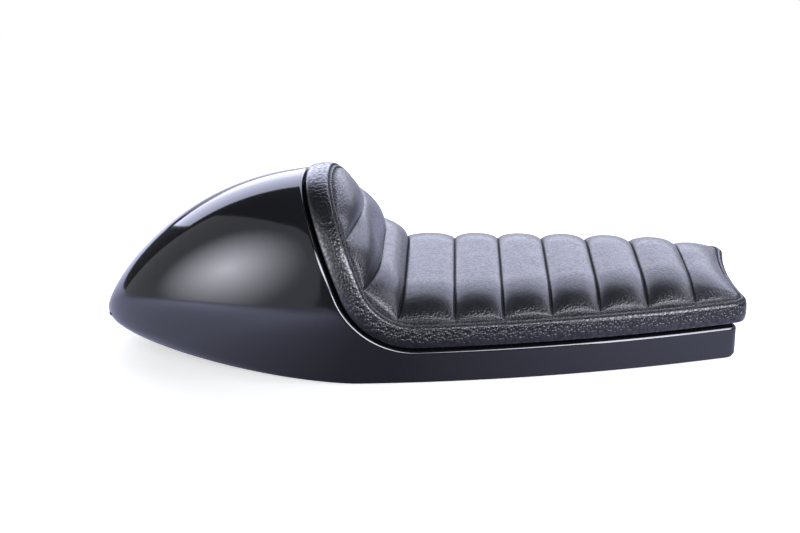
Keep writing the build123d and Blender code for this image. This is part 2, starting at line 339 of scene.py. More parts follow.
# %% [markdown]
# ## Helpers for modelling
#
# Each sheet starts as a grid primitive. Its vertices are then moved to their places row by row, in the way
# that a sculptor moves a plane's points, and modifiers such as Solidify give it thickness. An operator acts
# on all that is selected, so one small helper selects just the objects that are meant.

# %% Modelling helpers
weld_gap = 0.004 * MM


def only(*objs):
    """Selects these objects alone, the first one active."""
    bpy.ops.object.select_all(action="DESELECT")
    for obj in objs:
        obj.select_set(True)
    bpy.context.view_layer.objects.active = objs[0]


def move_points(obj, points):
    """Moves a mesh's vertices to points in millimetres."""
    obj.data.vertices.foreach_set("co", (points * MM).astype(np.float32).ravel())
    obj.data.update()


def grid_sheet(name, points, **shares):
    """A grid moved to rows of points. Each further value becomes an attribute with a value per point."""
    rows, columns = points.shape[:2]
    bpy.ops.object.select_all(action="DESELECT")
    bpy.ops.mesh.primitive_grid_add(x_subdivisions=columns - 1, y_subdivisions=rows - 1, size=1)
    obj = bpy.context.object
    obj.name = name
    for key, share in shares.items():
        layer = obj.data.attributes.new(key, "FLOAT", "POINT")
        layer.data.foreach_set("value", share.astype(np.float32).ravel())
    move_points(obj, points)
    return obj


def weld(obj, inside=False):
    """Merges points that lie on each other and turns all faces the same way."""
    only(obj)
    bpy.ops.object.mode_set(mode="EDIT")
    bpy.ops.mesh.select_all(action="SELECT")
    bpy.ops.mesh.remove_doubles(threshold=weld_gap)
    bpy.ops.mesh.dissolve_degenerate(threshold=weld_gap)
    bpy.ops.mesh.normals_make_consistent(inside=inside)
    bpy.ops.object.mode_set(mode="OBJECT")


def add_wall(obj, thickness):
    """Gives a sheet its thickness in millimetres, inwards."""
    only(obj)
    bpy.ops.object.modifier_add(type="SOLIDIFY")
    wall = obj.modifiers[-1]
    wall.thickness = thickness * MM
    wall.offset = -1.0
    bpy.ops.object.modifier_apply(modifier=wall.name)


def smooth(obj, degrees):
    """Smooth shading, with edges kept sharp where faces meet at a larger angle."""
    only(obj)
    bpy.ops.object.shade_smooth_by_angle(angle=math.radians(degrees))
    print(obj.name, len(obj.data.polygons), "faces")


# %% [markdown]
# ## The gloss moulding
#
# The shell is one moulding: hump, skirts, a rounded lip, the deck under the pad and the bulkhead behind it.
# It could be cut from a solid with booleans, but such cuts easily leave pinched facets in gloss. Here ribs
# run from the deck over the lip and down the skin to the lower edge, and each rib starts square to the lip,
# so the highlight along it stays even. Behind the bend the ribs fan out until they meet at the tail's tip.

# %% Lip of the shell
lip_rows = 9
rim, rim_out, rim_up, rim_distance = half_loop(0.0, 0.0, cowl_front, cowl_corner_round)
apart = np.sum(rim_out * rim_up, axis=1, keepdims=True)
lip_centre = rim - rim_round * (rim_out + rim_up) / (1 + apart)
opening = np.arccos(np.clip(apart, -1, 1))
lip = []
for part in np.linspace(0, 1, lip_rows + 1):
    up_share = np.sin((1 - part) * opening)
    out_share = np.sin(part * opening)
    toward = (up_share * rim_up + out_share * rim_out) / np.sin(opening)
    lip.append(lip_centre + rim_round * toward)
deck_edge = lip[0]
skin_top = lip[-1]
print("lip", len(lip), "rows of", len(rim), "points")

# %% [markdown]
# Below the lip each rib has a start and an end on the hull, given as x and as a share of the arch. The ends
# lie on the lower edge along the skirts, and behind the bend they are drawn back to the tip of the tail.

# %% Ribs of the shell
skin_rows = 52
fan_power = 1.5
side = slice(first_side, None)
start_x = skin_top[side, 0]
start_share = hull_share(start_x, skin_top[side, 1], skin_top[side, 2])
past_bend = rim_distance - deck_run - bend_run
bend_part = np.clip((rim_distance[side] - deck_run) / bend_run, 0, 1)
back_part = np.clip(past_bend[side] / past_bend[-1], 0, 1)
fanned_x = start_x + (-tail_reach - start_x) * bend_part**fan_power
end_x = np.where(rim[side, 0] >= bend_x, start_x, fanned_x)
end_share = np.where(bend_part < 1, 0.0, start_share * np.sqrt(back_part))
skin = []
for part in np.linspace(0, 1, skin_rows + 1)[1:]:
    toward_tail = 1 - (1 - part) ** 2
    along = part + (toward_tail - part) * bend_part
    x = start_x + (end_x - start_x) * along
    share = start_share + (end_share - start_share) * along
    nose_wall = skin_top[:first_side].copy()
    nose_wall[:, 2] += (lower_edge(nose_wall[:, 0]) - nose_wall[:, 2]) * part
    skin.append(np.concatenate([nose_wall, hull_point(x, share)]))
ribs = np.stack(lip + skin)
print("shell ribs", ribs.shape)

# %% [markdown]
# The deck closes the shell between the two lips. It is almost hidden by the pad, so plain rows from lip to
# lip are enough, and one many-sided face fills the hollow nose. Solidify then gives the whole moulding its
# wall, inwards, as a real moulding has one thickness.

# %% Deck, wall and normals
deck_columns = np.linspace(1, -1, 13)
skin_sheet = grid_sheet("gloss_shell", np.stack([whole_loop(row) for row in ribs]))
nose_points = int(np.argmax(deck_edge[:, 0] < cowl_front - 4 * nose_hollow))
deck_rows = np.repeat(deck_edge[nose_points:, None, :], len(deck_columns), axis=1)
deck_rows[..., 1] *= deck_columns
deck_sheet = grid_sheet("deck", deck_rows)
nose_half = deck_edge[:nose_points]
nose_ring = np.concatenate([deck_rows[0], (nose_half * mirror)[::-1], nose_half[1:]])
bpy.ops.object.select_all(action="DESELECT")
bpy.ops.mesh.primitive_circle_add(vertices=len(nose_ring), fill_type="NGON")
nose_sheet = bpy.context.object
move_points(nose_sheet, nose_ring)
only(skin_sheet, deck_sheet, nose_sheet)
bpy.ops.object.join()
shell = bpy.context.object
weld(shell)
add_wall(shell, shell_wall)
smooth(shell, degrees=40)

# %% [markdown]
# ## The rolled top of the pad
#
# The top panel is leather over foam, stitched down along nine lines so that ten rolls swell between them. A
# cloth simulation with pressure could swell them, but held at the stitched lines it hardly moved the panel,
# so the swell is worked out by formula. The lines lie at the same places as in the solid.

# %% Lines of the rolls
roll_lengths = [56.5] + [48.6] * 5 + [58.0] + [47.5] * 2
grooves = np.cumsum(roll_lengths)
top_edge_inset = 1.6
edge_points, _, _, edge_distance = pad_loop(seam_level, top_edge_inset)
edge_line = np.stack([edge_distance, edge_points[:, 1]], -1)
corner_at = loop_counts["nose"] + loop_counts["corner"] // 2
shoulder_at = first_side + loop_counts["side"] + loop_counts["bend"] + loop_counts["back"] // 2
nose_line = edge_line[: corner_at + 1]
side_line = edge_line[corner_at : shoulder_at + 1]
arch_line = edge_line[shoulder_at:][::-1]
print("stitched lines", np.round(grooves, 1), "mm from the nose")

# %% [markdown]
# The flat pattern of the panel has the distance from the nose as one direction and the width as the other.
# What matters for the swell is how far a point is from the stitched lines and from the seam, which is taken
# apart into the nose, the side and the arch over the back rest.

# %% Distances on the pattern
line_samples = 700
batch = 4000


def side_y(distance):
    """Half of the pad's width at the seam, at a distance from the nose."""
    return np.interp(distance, side_line[:, 0], side_line[:, 1])


def run_of(line):
    """Distance along a line at each of its points."""
    return np.concatenate([[0], np.cumsum(np.linalg.norm(np.diff(line, axis=0), axis=1))])


def resample(line, at):
    """Points at shares of a line's length."""
    run = run_of(line)
    return np.stack([np.interp(at * run[-1], run, line[:, i]) for i in (0, 1)], -1)


def to_line(line, distance, y):
    """Distance of each point from a line, on the flat pattern."""
    dense = resample(line, np.linspace(0, 1, line_samples))
    flat = np.stack([distance.ravel(), np.abs(y).ravel()], -1)
    found = np.empty(len(flat))
    for i in range(0, len(flat), batch):
        gap = flat[i : i + batch, None, :] - dense[None, :, :]
        found[i : i + batch] = np.sqrt(np.min(np.sum(gap**2, axis=2), axis=1))
    return found.reshape(distance.shape)


def to_seam(distance, y):
    """Distances from the seam at the nose, at the side and over the back rest."""
    return np.stack([to_line(line, distance, y) for line in (nose_line, side_line, arch_line)])


def to_groove(distance):
    """Distance from the nearest stitched line."""
    return np.min(np.abs(distance[..., None] - grooves), axis=-1)


# %% [markdown]
# A roll rises from the stitched lines to its crest. The crest of the first roll runs on to the nose and that
# of the last one to the arch. Both the rolls and the lines between them sink towards the seam, the lines
# sooner, which makes the row of dark arches along the edge of the pad. A narrow strip beside the seam is
# folded under and stitched through, and it has its own small section.

# %% Heights of the rolls
crown = 16.5
puffs = np.array([5.5, 7.5, 7.2, 6.4, 5.6, 5.5, 5.8, 8.5, 4.0, 5.0])
felled_strip = 4.5
strip_at = [0, 0.6, 1.4, 2.5, 3.5, 4.2, 4.8, 5.6, 6.6]
strip_rise = [-2.8, -1.1, 0.3, 0.7, 0.2, -1.3, -1.3, 0.2, 0.5]
shoulder = 58.0
last_roll_length = 56.0
first_crest = 0.42
last_crest = 0.55
roll_squareness = 2.3
roll_fullness = 0.72
least_width = 0.3
groove_dome = 2
roll_dome = 2.2
roll_rise = 0.6
crease_depth = 1.0
crease_width = 1.0
crease_start = 8


def roll_swell(distance):
    """0 on a stitched line, 1 on the crest of a roll, and the number of the roll."""
    number = np.clip(np.searchsorted(grooves, distance), 0, len(grooves))
    starts = np.concatenate([[0.0], grooves])
    ends = np.concatenate([grooves, [grooves[-1] + last_roll_length]])
    u = (distance - starts[number]) / (ends[number] - starts[number])
    past_crest = np.clip((u - first_crest) / (1 - first_crest), 0, 1)
    u = np.where(number == 0, 0.5 + 0.5 * past_crest, u)
    u = np.where(number == len(grooves), 0.5 * np.clip(u / last_crest, 0, 1), u)
    from_crest = np.abs(2 * np.clip(u, 0, 1) - 1)
    return (1 - from_crest**roll_squareness) ** roll_fullness, number


def top_level(distance, y):
    """Level of the rolled top above the seat line."""
    edges = to_seam(distance, y)
    strip = np.interp(np.min(edges, axis=0), strip_at, strip_rise)
    inward = np.clip((edges - felled_strip) / shoulder, 0, 1)
    swell, number = roll_swell(distance)
    width = side_y(np.minimum(distance, side_line[-1, 0])) / half_width
    full = crown * np.sqrt(np.clip(width, least_width, 1))
    low = full * np.prod(1 - (1 - inward) ** groove_dome, axis=0)
    high = (full + puffs[number]) * np.prod((1 - (1 - inward) ** roll_dome) ** roll_rise, axis=0)
    crease = crease_depth * np.exp(-((to_groove(distance) / crease_width) ** 2))
    crease *= np.clip(np.min(inward, axis=0) * crease_start, 0, 1)
    return seam_level + strip + low + (high - low) * swell - crease


print("rolls", len(puffs), "with", puffs.min(), "to", puffs.max(), "mm of swell")

# %% [markdown]
# The flat pattern is made as patches between the stitched lines, so that each line is an edge row of the mesh
# and can be a sharp crease. Rows crowd towards the lines and the seam, where the leather bends most. The
# first patch reaches out to the hollow nose with its round corners, and the last one to the arch.

# %% Flat pattern of the top panel
half_columns = 64
roll_rows = 26
end_rows = 34
crowd_across = 1.7
crowd_groove = 1.35
crowd_seam = 1.5
cross_shares = 1 - (1 - np.arange(half_columns + 1) / half_columns) ** crowd_across


def patch(near, far, middle, outer):
    """Points between four border lines of one half of the pattern."""
    run = run_of(middle)
    u = (run / run[-1])[:, None, None]
    w = cross_shares[None, :, None]
    ruled = (1 - u) * near[None] + u * far[None] + (1 - w) * middle[:, None] + w * outer[:, None]
    corners = (1 - u) * ((1 - w) * near[0] + w * near[-1]) + u * ((1 - w) * far[0] + w * far[-1])
    return ruled - corners


def groove_row(distance):
    """A straight row across half of the pattern."""
    return np.stack([np.full(len(cross_shares), distance), cross_shares * side_y(distance)], -1)


def spread(count, start_power, end_power):
    """Shares from 0 to 1 that crowd towards the ends by these powers."""
    t = np.linspace(0, 1, count + 1)
    return t**start_power / (t**start_power + (1 - t) ** end_power)


first_groove = groove_row(grooves[0])
nose_middle = np.array([[nose_line[0, 0], 0.0], first_groove[0]])
nose_outer = np.concatenate([side_line[side_line[:, 0] < grooves[0]], first_groove[-1:]])
at = spread(end_rows, crowd_seam, crowd_groove)
nose_end = resample(nose_line, cross_shares)
pattern = [patch(nose_end, first_groove, resample(nose_middle, at), resample(nose_outer, at))]
for start, end in zip(grooves, grooves[1:]):
    rows = start + (end - start) * spread(roll_rows, crowd_groove, crowd_groove)
    pattern.append(np.stack([groove_row(d) for d in rows])[1:])
pattern[-1] = pattern[-1][:-1]
last_groove = groove_row(grooves[-1])
back_middle = np.array([last_groove[0], [arch_line[0, 0], 0.0]])
back_outer = np.concatenate([last_groove[-1:], side_line[side_line[:, 0] > grooves[-1]]])
at = spread(end_rows, crowd_groove, crowd_seam)
back_end = resample(arch_line, cross_shares)
pattern.append(patch(last_groove, back_end, resample(back_middle, at), resample(back_outer, at)))
pattern = np.concatenate(pattern)
print("top panel pattern", pattern.shape)

# %% [markdown]
# The pattern is lifted to its level, bent up along the seat line and mirrored. Two values go with each point:
# painted shade, which darkens and dulls the leather in the seam and along the stitched lines, and how deep
# its grain stands, because leather that is stretched over a roll is smoother than leather in a fold.

# %% Rolled top as a mesh
top_leather = 1.4
seam_dark = 1.5
groove_dark = 0.85
top_relief_at = [6, 11, 19]
top_relief_share = [0.8, 0.4, 0.09]


def both_halves(half, sign=1):
    """Rows of one half and of its mirror image."""
    return np.concatenate([(half * sign)[:, ::-1][:, :-1], half], axis=1)


along = pattern[..., 0]
across = pattern[..., 1]
x, z = on_seat(along, top_level(along, across))
from_edge = np.min(to_seam(along, across), axis=0)
from_seam = np.minimum(from_edge, np.abs(from_edge - felled_strip))
# Painted shade: the leather is darkened and dulled along the seam and the stitched lines.
shade = np.clip(np.maximum(seam_dark - from_seam, groove_dark - to_groove(along)), 0, 1)
relief = np.interp(from_edge, top_relief_at, top_relief_share)
rolled_top = grid_sheet(
    "rolled_top_panel", both_halves(np.stack([x, across, z], -1), mirror),
    seam_shade=both_halves(shade), grain_relief=both_halves(relief),
)
weld(rolled_top)
if rolled_top.data.polygons[len(rolled_top.data.polygons) // 2].normal.z < 0:
    weld(rolled_top, inside=True)
add_wall(rolled_top, top_leather)
smooth(rolled_top, degrees=70)

# %% [markdown]
# ## The side band
#
# A strip of the same leather runs round the pad, over the top of the back rest and across the nose. It bulges
# a little, turns under the base pan as a hem, and dives into the seam at its top. A curve with a bevel could
# carry such a section, but it may twist at the bend, so a short list of levels and insets is carried round
# the outline instead. The grain is deepest in the upper part and fades where the band goes up the back.

# %% Band round the pad
band_leather = 1.2
band_section = [
    (6.0, 12.0), (5.0, 11.0), (4.6, 8.0), (4.3, 5.0), (4.1, 3.2), (4.3, 1.9), (4.9, 0.9),
    (6.0, 0.25), (8.0, -0.25), (11.0, -0.65), (14.5, -0.9), (18.0, -0.9), (21.0, -0.7),
    (23.4, -0.35), (25.0, 0.1), (26.0, 0.65), (26.3, 1.2), (26.0, 1.8), (25.0, 2.4), (23.5, 2.9),
]
seam_rows = [14, 16]
band_relief_rows = [6, 8, 10, 11]
band_relief_share = [0.15, 0.3, 0.8, 1.0]
stretch_from = deck_run + 0.3 * bend_run
stretch_to = deck_run + 1.2 * bend_run
stretched_relief = 0.3
band_points = np.stack([whole_loop(pad_loop(level, inset)[0]) for level, inset in band_section])
row_number = np.arange(len(band_section))[:, None] * np.ones(band_points.shape[1])
up_the_back = np.interp(seam_run, [stretch_from, stretch_to], [1.0, stretched_relief])
relief = np.interp(row_number, band_relief_rows, band_relief_share)
relief *= np.concatenate([up_the_back, up_the_back[::-1][1:]])
# Painted shade: the top rows, which dive into the seam, are darkened and dulled.
shade = np.interp(row_number, seam_rows, [0.0, 1.0])
side_band = grid_sheet("side_band", band_points, seam_shade=shade, grain_relief=relief)
weld(side_band)
if np.mean([p.normal.y * p.center.y for p in side_band.data.polygons]) < 0:
    weld(side_band, inside=True)
add_wall(side_band, band_leather)
smooth(side_band, degrees=70)

# %% [markdown]
# ## Stitches
#
# A row of stitches holds the felled strip beside the seam, and each groove has its own row. They could be
# painted on, but real thread stands up and catches the light. One stitch is modelled for each kind of row, as
# a short thick thread that dives at both ends, and copied along the lines.

# %% One stitch
blunt_ends = 0.7
dive_power = 4


def stitch_shape(length, thickness):
    """A low, many-sided thread: a primitive sphere drawn out along X, with its ends turned down."""
    bpy.ops.object.select_all(action="DESELECT")
    bpy.ops.mesh.primitive_uv_sphere_add(
        segments=7, ring_count=6, radius=0.5, rotation=(0, math.pi / 2, 0)
    )
    obj = bpy.context.object
    bpy.ops.object.transform_apply(rotation=True)
    points = np.array([p.co for p in obj.data.vertices])
    points[:, 0] = np.sign(points[:, 0]) * (np.abs(points[:, 0]) * 2) ** blunt_ends / 2
    dive = (points[:, 0] * 2) ** dive_power * thickness
    points = points * [length, thickness, thickness]
    points[:, 2] -= dive
    # The primitive lists its faces in a new order on each run, so they are sorted.
    faces = sorted(list(p.vertices) for p in obj.data.polygons)
    bpy.data.objects.remove(obj)
    return points, faces


thread = 0.9
seam_stitch = 3.4
seam_gap = 1.3
groove_stitch = 3.6
groove_gap = 1.4
seam_shape = stitch_shape(seam_stitch, thread)
groove_shape = stitch_shape(groove_stitch, thread)
print("one stitch", len(seam_shape[1]), "faces")

# %% [markdown]
# The rows follow lines of the flat pattern, lifted onto the rolled top. Each copy of a stitch is turned so
# that it runs along its line and stands square to the leather.

# %% Stitch lines on the pad
outward_lean = 0.8
groove_margin = 12
groove_samples = 160
thread_points = []
thread_faces = []


def sew(line, ups, shape, length, gap):
    """Adds copies of a stitch along a line of points."""
    run = run_of(line)
    count = int(run[-1] // (length + gap))
    points, faces = shape
    for at in (np.arange(count) + 0.5) * run[-1] / count:
        start = np.array([np.interp(at - length / 2, run, line[:, i]) for i in range(3)])
        end = np.array([np.interp(at + length / 2, run, line[:, i]) for i in range(3)])
        up = np.array([np.interp(at, run, ups[:, i]) for i in range(3)])
        along = unit(end - start)
        across = unit(np.cross(up, along))
        base = len(thread_points) * len(points)
        turned = np.stack([along, across, np.cross(along, across)])
        thread_points.append((start + end) / 2 + points @ turned)
        thread_faces.extend([i + base for i in face] for face in faces)


def top_line(distance, y):
    """Points on the rolled top above a line of its flat pattern, and their seat normals."""
    x, z = on_seat(distance, top_level(distance, y))
    return np.stack([x, y, z], -1), seat_normal(seat_turn(distance))


strip_half, strip_out, _, strip_distance = pad_loop(seam_level, top_edge_inset + felled_strip)
line, ups = top_line(strip_distance, strip_half[:, 1])
ups = unit(ups + outward_lean * strip_out)
sew(whole_loop(line), whole_loop(ups), seam_shape, seam_stitch, seam_gap)
for distance in grooves:
    reach = side_y(distance) - groove_margin
    y = np.linspace(-reach, reach, groove_samples)
    line, ups = top_line(np.full(len(y), distance), y)
    sew(line, ups, groove_shape, groove_stitch, groove_gap)
thread_mesh = bpy.data.meshes.new("pad_stitches")
thread_mesh.from_pydata((np.concatenate(thread_points) * MM).tolist(), [], thread_faces)
pad_stitches = bpy.data.objects.new("pad_stitches", thread_mesh)
bpy.context.scene.collection.objects.link(pad_stitches)
smooth(pad_stitches, degrees=60)

# %% [markdown]
# ## Finishes
#
# Every finish is a small recipe of shader nodes. A Value wraps one socket, and Python's own operators add
# Math nodes, so that a recipe reads like a sum. Any other node comes from one method of the recipe.


# %% Shader recipes
class Value:
    """One socket of a recipe, with operators for its maths."""

    def __init__(self, recipe, socket):
        self.recipe = recipe
        self.socket = socket

    def maths(self, operation, first, second):
        return self.recipe.node("ShaderNodeMath", {"operation": operation}, {0: first, 1: second})

    def __add__(self, other):
        return self.maths("ADD", self, other)

    def __radd__(self, other):
        return self.maths("ADD", other, self)

    def __sub__(self, other):
        return self.maths("SUBTRACT", self, other)

    def __rsub__(self, other):
        return self.maths("SUBTRACT", other, self)

    def __mul__(self, other):
        return self.maths("MULTIPLY", self, other)

    def __rmul__(self, other):
        return self.maths("MULTIPLY", other, self)

    def __pow__(self, other):
        return self.maths("POWER", self, other)


class Recipe:
    """A material or a world, and the nodes that make it."""

    def __init__(self, name, owner=None):
        self.owner = owner or bpy.data.materials.new(name)
        self.owner.use_nodes = True
        self.tree = self.owner.node_tree
        self.tree.nodes.clear()

    def node(self, kind, settings=None, sockets=None, out=0):
        """Adds a node, sets it, then gives its sockets values or links, and returns one output."""
        made = self.tree.nodes.new(kind)
        for key, value in (settings or {}).items():
            setattr(made, key, value)
        for key, value in (sockets or {}).items():
            if isinstance(value, Value):
                self.tree.links.new(value.socket, made.inputs[key])
            else:
                made.inputs[key].default_value = value
        return Value(self, made.outputs[out]) if made.outputs else None

    def place(self):
        """The point on the object that is shaded."""
        return self.node("ShaderNodeTexCoord", out="Object")

    def noise(self, scale, detail, out=0):
        """Soft noise with spots of about one part in scale of a metre."""
        return self.node(
            "ShaderNodeTexNoise", {}, {"Vector": self.place(), "Scale": scale, "Detail": detail}, out=out
        )

    def ramp(self, value, start, end, low=0.0, high=1.0, kind="LINEAR"):
        """Goes from low to high while the value goes from start to end."""
        return self.node(
            "ShaderNodeMapRange", {"interpolation_type": kind},
            {"Value": value, "From Min": start, "From Max": end, "To Min": low, "To Max": high},
        )

    def mix(self, factor, first, second):
        """A colour between two colours or vectors."""
        return self.node(
            "ShaderNodeMix", {"data_type": "RGBA"}, {"Factor": factor, "A": first, "B": second}, out=2
        )

    def bump(self, height, strength, distance):
        """A normal that follows a height."""
        return self.node(
            "ShaderNodeBump", {}, {"Strength": strength, "Distance": distance, "Height": height}
        )

    def finish(self, settings):
        """The surface shader, with its output."""
        surface = self.node("ShaderNodeBsdfPrincipled", {}, settings)
        self.node("ShaderNodeOutputMaterial", {}, {"Surface": surface})
        return self.owner


# %% [markdown]
# ### Gloss black moulding
#
# The shell is polished black with a clear coat. A plain black with low roughness would look like glass, so a
# faint orange peel ripples its reflections, and the roughness changes a little from place to place, as on a
# hand-polished moulding.


# %% Gloss black
def gloss_black():
    r = Recipe("gloss_black")
    peel = r.noise(scale=160.0, detail=2.0)
    haze = r.noise(scale=9.0, detail=4.0)
    return r.finish({
        "Base Color": (0.009, 0.009, 0.011, 1),
        "Roughness": haze * 0.08 + 0.05,
        "Coat Weight": 0.15,
        "Coat Roughness": 0.03,
        "Normal": r.bump(peel, strength=0.05, distance=0.0002),
    })


# %% [markdown]
# ### Pebble-grain leather
#
# The grain is made of small domes, about three millimetres across. A cell pattern gives the distance from the
# middle of each cell, and its square makes the dome. The tops are smoother and shinier than the creases. Of
# the two values of the mesh, one makes the grain flat where the leather is stretched, and the other paints
# shade into the seams and the stitched lines, darker and duller. A broad noise adds the soft unevenness of
# hide over foam.

# %% Leather
dome_width = 1.4
grain_wander = 0.0012
fine_depth = 0.00001
broad_depth = 0.0006
crease_black = (0.002, 0.002, 0.003, 1)
dome_black = (0.005, 0.005, 0.0065, 1)


def pebble_leather(name, grain, depth, gloss, sparkle, rough):
    r = Recipe(name)
    shifted = r.mix(grain_wander, r.place(), r.noise(scale=300.0, detail=1.0, out=1))
    cells = r.node("ShaderNodeTexVoronoi", {"feature": "F1"}, {"Vector": shifted, "Scale": grain})
    pebble = r.ramp((cells * dome_width) ** 2, 0.0, 1.0, low=1.0, high=0.0)
    fine = r.noise(scale=1800.0, detail=2.0)
    broad = r.noise(scale=45.0, detail=3.0)
    seam = r.node("ShaderNodeAttribute", {"attribute_name": "seam_shade"}, out="Fac")
    relief = r.node("ShaderNodeAttribute", {"attribute_name": "grain_relief"}, out="Fac")
    height = pebble * relief * depth + fine * fine_depth + broad * broad_depth
    # Painted shade: seam_shade darkens the colour and the coat in the seams and the stitched lines; the rest
    # is the grain's tone.
    grain_tone_and_seam_shade = (pebble * 0.8 + broad * 0.2) * (1 - seam)
    return r.finish({
        "Base Color": r.mix(grain_tone_and_seam_shade, crease_black, dome_black),
        "Roughness": rough - pebble * 0.12 + broad * 0.06 + seam * 0.4,
        "Specular IOR Level": 0.38,
        "Coat Weight": (pebble * sparkle + gloss) * (1 - seam),
        "Coat Roughness": rough / 2,
        "Normal": r.bump(height, strength=1.0, distance=1.0),
    })


# %% [markdown]
# ### Small finishes
#
# The thread is dull black with a twist. The base pan is a matt moulding, and the studs, washers and nuts
# under the deck are zinc plated, with a patchy bloom. These are solids of the frame whose shape is right, so
# they stay and only get their finish.


# %% Thread, pan and zinc
def waxed_thread():
    r = Recipe("waxed_thread")
    twist = r.noise(scale=2500.0, detail=1.0)
    return r.finish({
        "Base Color": (0.014, 0.014, 0.016, 1),
        "Roughness": twist * 0.2 + 0.4,
        "Normal": r.bump(twist, strength=0.4, distance=0.0001),
    })


def matt_pan():
    r = Recipe("matt_pan")
    texture = r.noise(scale=900.0, detail=2.0)
    return r.finish({
        "Base Color": (0.015, 0.015, 0.016, 1),
        "Roughness": texture * 0.2 + 0.5,
        "Normal": r.bump(texture, strength=0.3, distance=0.0002),
    })


def zinc_plate():
    r = Recipe("zinc_plate")
    bloom = r.noise(scale=220.0, detail=4.0)
    return r.finish({
        "Base Color": r.mix(bloom, (0.5, 0.5, 0.48, 1), (0.72, 0.72, 0.7, 1)),
        "Metallic": 1.0,
        "Roughness": bloom * 0.25 + 0.22,
    })


def dress(obj, material):
    """Gives an object one material."""
    obj.data.materials.clear()
    obj.data.materials.append(material)


dress(shell, gloss_black())
dress(rolled_top, pebble_leather(
    "top_leather", grain=380.0, depth=0.0008, gloss=0.15, sparkle=0.1, rough=0.4))
dress(side_band, pebble_leather(
    "band_leather", grain=290.0, depth=0.0013, gloss=0.1, sparkle=0.6, rough=0.34))
dress(pad_stitches, waxed_thread())
dress(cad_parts["pad_base_pan"], matt_pan())
zinc = zinc_plate()
for name in ("pad_studs", "stud_washers", "stud_nuts"):
    dress(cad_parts[name], zinc)
print("materials", sorted(m.name for m in bpy.data.materials))

# %% [markdown]
# ## Pieces on the frame
#
# Each new piece rides on the one body of the part, and the solids that it stands for are hidden. The rolled
# top stands for the foam too, which is inside it and never shows.

# %% Ride and replace
slots = {
    shell: "gloss_shell",
    rolled_top: "cover_leather",
    side_band: "cover_leather",
    pad_stitches: "cover_leather",
}
for piece, slot_name in slots.items():
    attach(piece, "root")
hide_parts("cowl_shell")
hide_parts("cover_top_panel", "pad_foam")
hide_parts("cover_side_band")
print("new pieces", [piece.name for piece in slots])

# %% [markdown]
# ## Floor, light and camera
#
# The object stands on white paper that has no horizon. Close to the object the paper is matt and keeps its
# shadow, and further out the camera sees plain white. In the gloss the paper shows as a pale sheen. It is
# brightest in front of the nose, in a round spot at the left and far behind, and dim between them, as in a
# studio where the lamps light only parts of the floor.

# %% Floor
paper_radius = 14.0
just_below = -0.0005
bpy.ops.object.select_all(action="DESELECT")
bpy.ops.mesh.primitive_circle_add(
    vertices=96, radius=paper_radius, fill_type="NGON", location=(0, 0, just_below)
)
floor = bpy.context.object
floor.name = "floor"
bpy.ops.object.transform_apply(location=True)


def round_spot(recipe, shift, scale):
    """1 in the middle of a round spot, 0 at its edge and beyond."""
    moved = recipe.node(
        "ShaderNodeMapping", {}, {"Vector": recipe.place(), "Location": shift, "Scale": scale}
    )
    return recipe.node("ShaderNodeTexGradient", {"gradient_type": "SPHERICAL"}, {"Vector": moved})


def ray(recipe, kind):
    """1 for rays of this kind."""
    return recipe.node("ShaderNodeLightPath", out=kind)


def looked_at(recipe):
    """1 where the camera looks straight at a surface, or through something clear."""
    rays = {0: ray(recipe, "Is Camera Ray"), 1: ray(recipe, "Is Transmission Ray")}
    return recipe.node("ShaderNodeMath", {"operation": "MAXIMUM"}, rays)


paper = Recipe("white_paper")
along = paper.node("ShaderNodeSeparateXYZ", {}, {"Vector": paper.place()}, out="X")
across = paper.node("ShaderNodeSeparateXYZ", {}, {"Vector": paper.place()}, out="Y")
middle_spot = round_spot(paper, shift=(0.0, 0.0, 0.0), scale=(0.55, 0.55, 0.55))
left_spot = round_spot(paper, shift=(0.6, 0.47, 0.0), scale=(0.667, 0.667, 0.667))
close = paper.ramp(middle_spot, 0.4, 0.86, low=0.08, high=0.85, kind="SMOOTHSTEP")
right_share = paper.ramp(along, -0.08, 0.36, low=0.05, high=1.85)
left_share = paper.ramp(along, -0.3, -0.02, low=1.0, high=0.05)
back_share = paper.ramp(across, 0.15, 0.6)
# Painted light: for glossy rays the paper glows with these pools of light instead of being lit by the lamps.
sheen = close * right_share + (left_spot ** 2 * 2.6 + 0.95) * left_share + back_share
pale = paper.node("ShaderNodeEmission", {}, {"Color": (0.68, 0.7, 1, 1), "Strength": sheen})
lift = paper.node(
    "ShaderNodeEmission", {}, {"Color": (1, 1, 1, 1), "Strength": ray(paper, "Is Camera Ray") * 0.6}
)
matt = paper.node("ShaderNodeBsdfDiffuse", {}, {"Color": (1.0, 0.99, 0.9, 1)})
lifted = paper.node("ShaderNodeAddShader", {}, {0: matt, 1: lift})
white = paper.node("ShaderNodeEmission", {}, {"Color": (1, 1, 1, 1), "Strength": 1.0})
mirrored = ray(paper, "Is Glossy Ray")
inner = paper.node("ShaderNodeMixShader", {}, {0: mirrored, 1: lifted, 2: pale})
near = paper.ramp(middle_spot, 0.0, 0.55, kind="SMOOTHSTEP")
whole = paper.node("ShaderNodeMixShader", {}, {0: looked_at(paper) * (1 - near), 1: inner, 2: white})
paper.node("ShaderNodeOutputMaterial", {}, {"Surface": whole})
dress(floor, paper.owner)
print("floor", paper_radius, "m in radius")

# %% [markdown]
# The world is white for the camera, like the paper, but it lights the object only dimly. So the shape is
# drawn by the lamps, and the gloss stays black where it reflects no lamp.

